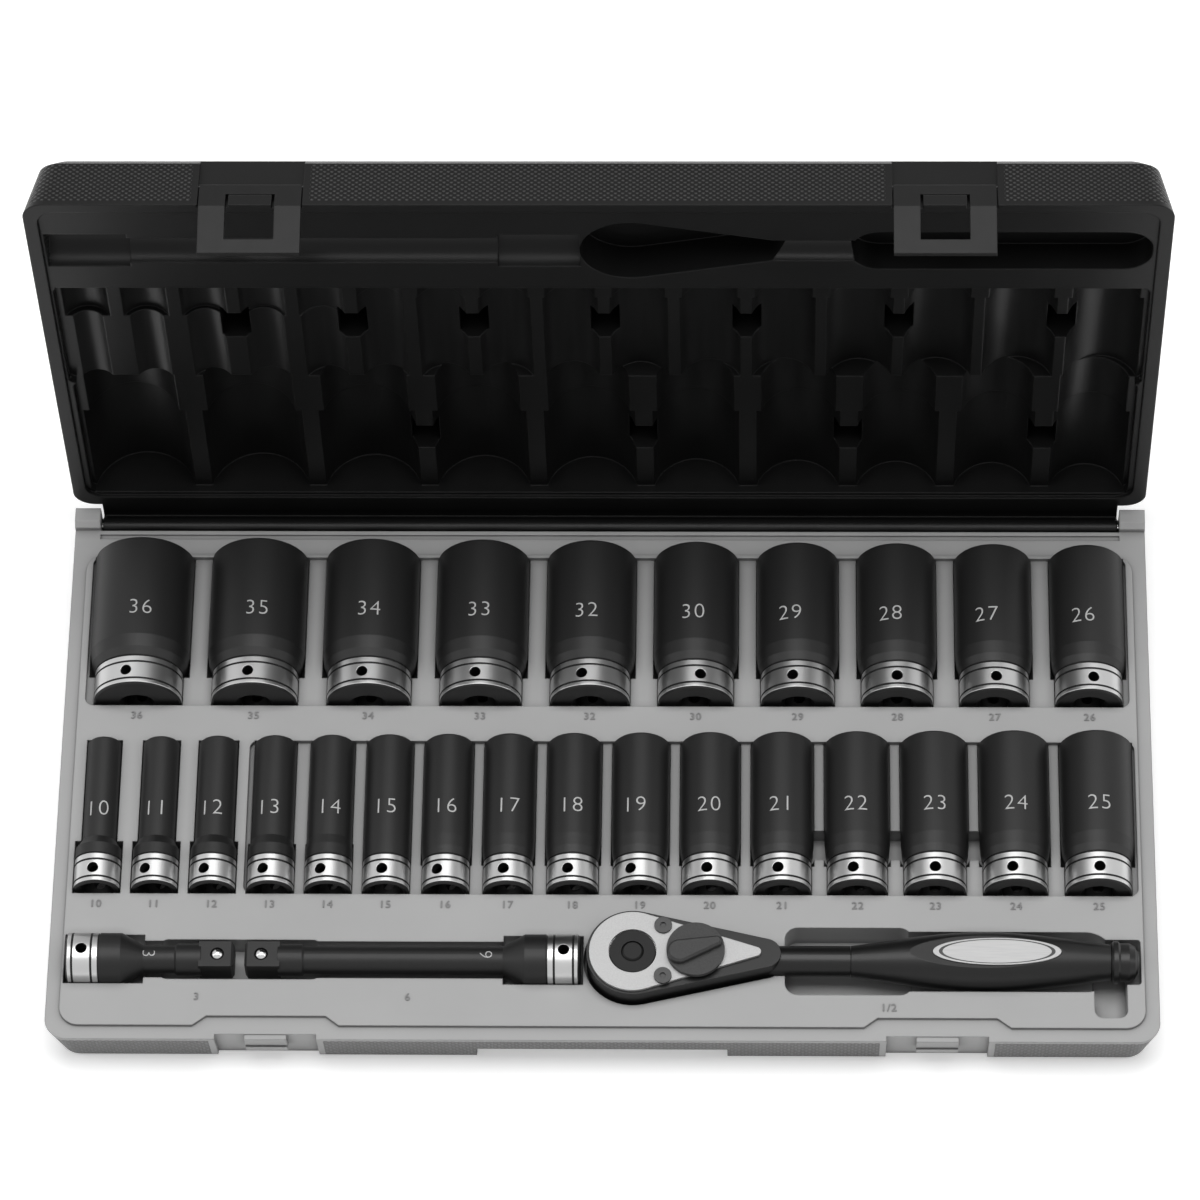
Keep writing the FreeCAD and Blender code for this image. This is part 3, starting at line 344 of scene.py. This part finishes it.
def grained(name, dark, light, metallic, roughness, grain_size, relief, stretch=(1, 1, 1), edge_size=0.3,
            specular=0.5):
    """A finish with a noise grain that may be stretched into brush marks."""
    material, tree, shader, place = start_material(name)
    scale = [1 / (grain_size * mm * part) for part in stretch]
    spread = add(tree, "ShaderNodeMapping", None, {"Vector": place.outputs["Object"], "Scale": scale})
    grain = noise(tree, spread.outputs[0], 1.0, 3.0)
    tone = mixed(tree, grain, linear(dark), linear(light))
    gloss = rescaled(tree, grain, roughness - grain_gloss_spread, roughness + grain_gloss_spread)
    normal = bumped(tree, relief, grain_depth, grain, rounded(tree, edge_size * mm, 4))
    feed_shader(tree, shader, tone, gloss, normal)
    shader.inputs["Metallic"].default_value = metallic
    shader.inputs["Specular IOR Level"].default_value = specular
    return material


# Oxide blacked forging: smooth, dark and satin
black_oxide = grained("black_oxide_steel", "#111111", "#191919", 0.0, 0.32, 0.6, 0.10, specular=0.3)
# Moulded rubber sleeve: darker in the hollows and duller than the steel
grip_rubber = grained("grip_rubber", "#101010", "#171717", 0.0, 0.38, 0.8, 0.12, edge_size=0.6, specular=0.3)
# Bead blasted steel plate: a fine even sparkle of grains
blasted_steel = grained("bead_blasted_steel", "#969696", "#B6B6B6", 0.5, 0.55, 0.6, 0.5)
# Brushed badge: marks along the handle, and one dark line inside its edge
brushed_badge = grained("brushed_badge", "#8E8E8E", "#A6A6A6", 0.6, 0.42, 0.5, 0.10, stretch=(30, 1, 1))
badge_line_at = 0.88
badge_line_half = 0.03
badge_low, badge_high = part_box("grip_badge")
badge_middle = (badge_low + badge_high) / 2
badge_half = (badge_high - badge_low) / 2
tree = brushed_badge.node_tree
shader = tree.nodes["Principled BSDF"]
brushed = shader.inputs["Base Color"].links[0].from_socket
place = add(tree, "ShaderNodeTexCoord")
offset = add(tree, "ShaderNodeVectorMath", {"operation": "SUBTRACT"},
             {0: place.outputs["Object"], 1: badge_middle}).outputs[0]
oval = add(tree, "ShaderNodeVectorMath", {"operation": "MULTIPLY"},
           {0: offset, 1: (1 / badge_half.x, 1 / badge_half.y, 0)}).outputs[0]
share = add(tree, "ShaderNodeVectorMath", {"operation": "LENGTH"}, {0: oval}).outputs["Value"]
line = reckon(tree, "COMPARE", share, badge_line_at, badge_line_half)
tree.links.new(mixed(tree, line, brushed, linear("#3A3A3A")), shader.inputs["Base Color"])
# Plain bright steel for pins, springs and balls
bright_steel = grained("bright_steel", "#B8B8B8", "#D0D0D0", 1.0, 0.22, 0.6, 0.05)
# Zinc plated screw heads
zinc_steel = grained("zinc_plated_steel", "#363636", "#464646", 0.7, 0.42, 0.5, 0.15)
# Dark phosphate of the release button and the gear
dark_steel = grained("dark_phosphate_steel", "#0C0C0C", "#141414", 0.0, 0.42, 0.5, 0.15, specular=0.2)
# Glass filled nylon of the reversing lever
lever_nylon = grained("lever_nylon", "#262626", "#3E3E3E", 0.0, 0.5, 0.9, 0.9, specular=0.3)
# Acetal of the flap latches, smooth from a polished mould
latch_acetal = grained("latch_acetal", "#101010", "#151515", 0.0, 0.42, 6.0, 0.04, edge_size=0.6,
                       specular=0.17)
dress(black_oxide, "ratchet_body", "handle_end_cap", "pawl", "latch_pins")
dress(grip_rubber, "handle_grip")
dress(blasted_steel, "head_cover_plate")
dress(brushed_badge, "grip_badge")
dress(bright_steel, "hinge_pin", "drive_ball", "pawl_pin", "retaining_ring", "extension_3in_ball",
      "extension_6in_ball", "extension_3in_spring", "extension_6in_spring", "button_spring")
dress(zinc_steel, "cover_screws")
dress(dark_steel, "drive_gear", "quick_release_button")
dress(lever_nylon, "reversing_lever")
dress(latch_acetal, "latch_left", "latch_right")
print("finishes:", len(bpy.data.materials))

# %% [markdown]
# Three small springs hide under the two bars' balls and under the release button. The solids hold them as
# plain sleeves. Here each becomes a coil of wire, seated at the lower end of its sleeve, which moves with its
# bar or with the drive.

# %% Coil springs
spring_wire = 0.5 * mm
spring_slack = 0.1 * mm
spring_turns = 3
points_per_turn = 12


def coil_spring(node, body):
    """A coil in place of a plain sleeve that stands upright, seated at its lower end."""
    low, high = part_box(node)
    middle = (low + high) / 2
    radius = (high.x - low.x - spring_wire) / 2
    climb = high.z - low.z - spring_wire - spring_slack
    bpy.ops.object.select_all(action="DESELECT")
    bpy.ops.curve.primitive_nurbs_path_add()
    piece = bpy.context.object
    piece.name = node + "_coil"
    line = piece.data.splines[0]
    count = spring_turns * points_per_turn + 1
    line.points.add(count - len(line.points))
    for index, point in enumerate(line.points):
        angle = 2 * math.pi * index / points_per_turn
        height = low.z + spring_wire / 2 + climb * index / (count - 1)
        point.co = (middle.x + radius * math.cos(angle), middle.y + radius * math.sin(angle), height, 1.0)
    line.use_endpoint_u = True
    line.resolution_u = 2
    piece.data.bevel_depth = spring_wire / 2
    piece.data.bevel_resolution = 2
    piece.data.use_fill_caps = True
    bpy.ops.object.convert(target="MESH")
    piece.data.materials.append(bright_steel)
    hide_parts(node)
    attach(piece, body)
    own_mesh(piece)


coil_spring("extension_3in_spring", "extension_3in")
coil_spring("extension_6in_spring", "extension_6in")
coil_spring("button_spring", "drive")

# %% [markdown]
# Each socket has its size etched on its upper side. The sockets lie as they were dropped into their pockets,
# so each numeral is turned by its own few degrees. A text object is made a mesh, cut into narrow strips so
# that it can bend, and laid round the socket: a point's distance along the word becomes an angle about the
# axis. The etch is a pale grey skin, half of which stands above the steel.

# %% Etched numerals on the sockets
etched_grey = grained("etched_grey", "#A6A6A6", "#BEBEBE", 0.0, 0.55, 0.4, 0.1)
etch_height = 7.6 * mm
etch_thinning = 0.17 * mm
etch_thickness = 0.16 * mm
etch_from_hex_end = 38.0 * mm
letter_share = 0.69
letter_spacing = 1.12
strip = 1.0 * mm
beside_top = 3 * mm
well_above = 100 * mm
bar_etch_height = 6.0 * mm
short_bar_etch_x = -206.4 * mm
long_bar_etch_x = -52.3 * mm
etch_degrees = {36: 3, 35: 3, 34: 0, 33: -2, 32: -5, 30: -4, 29: -11, 28: -10, 27: -12, 26: -9,
                10: -8, 11: -6, 12: -10, 13: -10, 14: 0, 15: -5, 16: -3, 17: -1, 18: -4, 19: -12,
                20: -2, 21: -3, 22: -3, 23: 0, 24: 1, 25: 2}


def numeral(name, words, height, thickness, strips, thinning=0.0):
    """A flat numeral as a mesh, centred on the origin, cut into upright strips where it has to bend."""
    bpy.ops.object.select_all(action="DESELECT")
    bpy.ops.object.text_add()
    piece = bpy.context.object
    piece.name = name
    piece.data.body = words
    piece.data.align_x = "CENTER"
    piece.data.align_y = "CENTER"
    piece.data.size = height / letter_share
    piece.data.extrude = thickness / 2
    piece.data.offset = -thinning
    piece.data.space_character = letter_spacing
    piece.data.resolution_u = 4
    bpy.ops.object.convert(target="MESH")
    if strips:
        reach = max(abs(corner.co.x) for corner in piece.data.vertices)
        bpy.ops.object.mode_set(mode="EDIT")
        cut = -reach + strips
        while cut < reach:
            bpy.ops.mesh.select_all(action="SELECT")
            bpy.ops.mesh.bisect(plane_co=(cut, 0, 0), plane_no=(1, 0, 0))
            cut += strips
        bpy.ops.object.mode_set(mode="OBJECT")
    return piece


def skin_radius(node, x, y, axis_z):
    """Distance from a tool's axis up to its skin, found with a ray from above."""
    skin = nodes[node].ray_cast(Vector((x, y, axis_z + well_above)), Vector((0, 0, -1)))[1]
    return skin.z - axis_z


for name, (centre, drive_y, hex_y) in sockets.items():
    size = int(name[len("socket_"):-len("mm")])
    radius = skin_radius(name, centre[0] + beside_top, hex_y - etch_from_hex_end, centre[1])
    radius = math.hypot(radius, beside_top)
    piece = numeral("etched_%d" % size, str(size), etch_height, etch_thickness, strip, etch_thinning)
    for corner in piece.data.vertices:
        angle = corner.co.x / radius + math.radians(etch_degrees[size])
        reach = radius + corner.co.z
        corner.co = (centre[0] + reach * math.sin(angle), hex_y - etch_from_hex_end + corner.co.y,
                     centre[1] + reach * math.cos(angle))
    piece.data.materials.append(etched_grey)
    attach(piece, name)
# The bars' numerals stand across the neck, with their feet to the female end
for name, words, x, way in (("extension_3in", "3", short_bar_etch_x, 1),
                            ("extension_6in", "6", long_bar_etch_x, -1)):
    low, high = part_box(name)
    middle = (low + high) / 2
    radius = skin_radius(name, x, middle.y, middle.z)
    piece = numeral("etched_bar_" + words, words, bar_etch_height, etch_thickness, strip, etch_thinning)
    for corner in piece.data.vertices:
        angle = -way * corner.co.x / radius
        reach = radius + corner.co.z
        corner.co = (x + way * corner.co.y, middle.y + reach * math.sin(angle),
                     middle.z + reach * math.cos(angle))
    piece.data.materials.append(etched_grey)
    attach(piece, name)
print("numerals etched:", len(sockets) + 2)

# %% [markdown]
# The mould has the same sizes raised in the tray in front of each socket, and the bars' and the drive's sizes
# beside them. They are too low for the light to draw their sides, so painted shade stands in: their plastic
# is darker.

# %% Raised numerals in the tray
# Painted shade: darker than the tray's own plastic, in place of the shadows along the numerals' edges
raised_numeral_painted_shade = grained("raised_grey_polyethylene", "#777777", "#858585", 0.0, 0.5, 0.8, 0.1, specular=0.4)
raised_height = 3.6 * mm
raised_thickness = 0.7 * mm
raised_gap = 7.0 * mm
bar_words_drop = 19.0 * mm
drive_words_drop = 23.5 * mm
short_bar_words_x = -184 * mm
long_bar_words_x = -88 * mm
drive_words_x = 130 * mm


def raise_numeral(name, words, x, y):
    """A low numeral standing on the tray's panel."""
    piece = numeral(name, words, raised_height, raised_thickness, 0)
    for corner in piece.data.vertices:
        corner.co += Vector((x, y, panel_top))
    piece.data.materials.append(raised_numeral_painted_shade)
    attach(piece, "base")


for name, (centre, drive_y, hex_y) in sockets.items():
    size = name[len("socket_"):-len("mm")]
    raise_numeral("raised_" + size, size, centre[0], drive_y - raised_gap)
front_row_y = (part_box("extension_3in")[0].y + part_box("extension_3in")[1].y) / 2
raise_numeral("raised_bar_3", "3", short_bar_words_x, front_row_y - bar_words_drop)
raise_numeral("raised_bar_6", "6", long_bar_words_x, front_row_y - bar_words_drop)
raise_numeral("raised_half", "1/2", drive_words_x, front_row_y - drive_words_drop)
print("numerals raised:", len(sockets) + 3)

# %% [markdown]
# The studio is a pale sweep with one broad light overhead and two tall strips at the sides, which draw the
# bright edges along the bands. The sweep is white to the camera and to reflections, and the floor still takes
# the set's shadow.

# %% Studio
floor_size = 12.0
glow_near = 0.35
glow_starts = 0.5
glow_full = 2.5
sky_low = 0.12
sky_high = 0.50


def softbox(name, place, target, size, power):
    """An area light that looks at a target."""
    bpy.ops.object.select_all(action="DESELECT")
    bpy.ops.object.light_add(type="AREA", location=place)
    lamp = bpy.context.object
    lamp.name = name
    lamp.data.shape = "RECTANGLE"
    lamp.data.size, lamp.data.size_y = size
    lamp.data.energy = power
    lamp.rotation_euler = (Vector(target) - Vector(place)).to_track_quat("-Z", "Y").to_euler()


def seen_rays(tree):
    """One for a ray from the camera, from a reflection or through something clear, and zero for any other."""
    rays = add(tree, "ShaderNodeLightPath").outputs
    seen = rays["Is Camera Ray"]
    for kind in ("Is Glossy Ray", "Is Transmission Ray"):
        seen = reckon(tree, "MAXIMUM", seen, rays[kind])
    return seen


softbox("overhead_softbox", (0.0, 0.1, 1.9), (0.0, 0.05, 0.0), (1.6, 1.2), 27)
softbox("left_strip", (-1.5, -0.2, 0.9), (0.0, 0.0, 0.05), (0.35, 1.5), 4)
softbox("right_strip", (1.5, -0.2, 0.9), (0.0, 0.0, 0.05), (0.35, 1.5), 4)

floor_material, tree, shader, place = start_material("pale_sweep")
shader.inputs["Base Color"].default_value = linear("#F4F4F4")
shader.inputs["Roughness"].default_value = 0.8
# Far from the lamps the sweep glows more, so that it meets the white world with no edge
away = add(tree, "ShaderNodeVectorMath", {"operation": "LENGTH"}, {0: place.outputs["Object"]})
white = add(tree, "ShaderNodeMapRange", None,
            {"Value": away.outputs["Value"], "From Min": glow_starts, "From Max": glow_full,
             "To Min": glow_near, "To Max": 1.0})
glow = reckon(tree, "MULTIPLY", seen_rays(tree), white.outputs[0])
shader.inputs["Emission Color"].default_value = linear("#FFFFFF")
tree.links.new(glow, shader.inputs["Emission Strength"])
bpy.ops.object.select_all(action="DESELECT")
bpy.ops.mesh.primitive_plane_add(size=floor_size, location=(0, 0, 0))
floor = bpy.context.object
floor.name = "studio_floor"
floor.data.materials.append(floor_material)

world = bpy.data.worlds.new("studio_world")
bpy.context.scene.world = world
world.use_nodes = True
tree = world.node_tree
background = tree.nodes["Background"]
background.inputs["Color"].default_value = linear("#FFFFFF")
# Light that falls on the set is soft and comes more from above than from the sides
heading = add(tree, "ShaderNodeTexCoord")
height = add(tree, "ShaderNodeSeparateXYZ", None, {0: heading.outputs["Generated"]})
soft = rescaled(tree, height.outputs["Z"], sky_low, sky_high)
strength = add(tree, "ShaderNodeMix", {"data_type": "FLOAT"}, {0: seen_rays(tree), 2: soft, 3: 1.0})
tree.links.new(strength.outputs[0], background.inputs["Strength"])
bpy.context.scene.view_settings.view_transform = "Standard"
print("studio lit")

# %% [markdown]
# The camera stands far off with a long lens, as for a catalogue picture: it looks down steeply, a few degrees
# from the side, and is tilted by a little, so the far edge is almost as wide as the near one.

# %% Camera
camera_distance = 2979 * mm
camera_pitch = math.radians(60.47)
camera_yaw = math.radians(-3.02)
camera_roll = math.radians(-2.52)
camera_target = Vector((-3.7 * mm, 89.7 * mm, rim))
camera_lens = 190.4
look = Vector((math.sin(camera_yaw) * math.cos(camera_pitch),
               math.cos(camera_yaw) * math.cos(camera_pitch), -math.sin(camera_pitch)))
level = Vector((math.cos(camera_yaw), -math.sin(camera_yaw), 0))
rise = level.cross(look)
right = level * math.cos(camera_roll) + rise * math.sin(camera_roll)
up = rise * math.cos(camera_roll) - level * math.sin(camera_roll)
bpy.ops.object.camera_add()
camera = bpy.context.object
camera.name = "catalogue_camera"
camera.data.sensor_fit = "HORIZONTAL"
camera.data.sensor_width = 36
camera.data.lens = camera_lens
turn = Matrix((right, up, -look)).transposed().to_4x4()
camera.matrix_world = Matrix.Translation(camera_target - look * camera_distance) @ turn
bpy.context.scene.camera = camera
print("camera at", [round(value, 3) for value in camera.location])
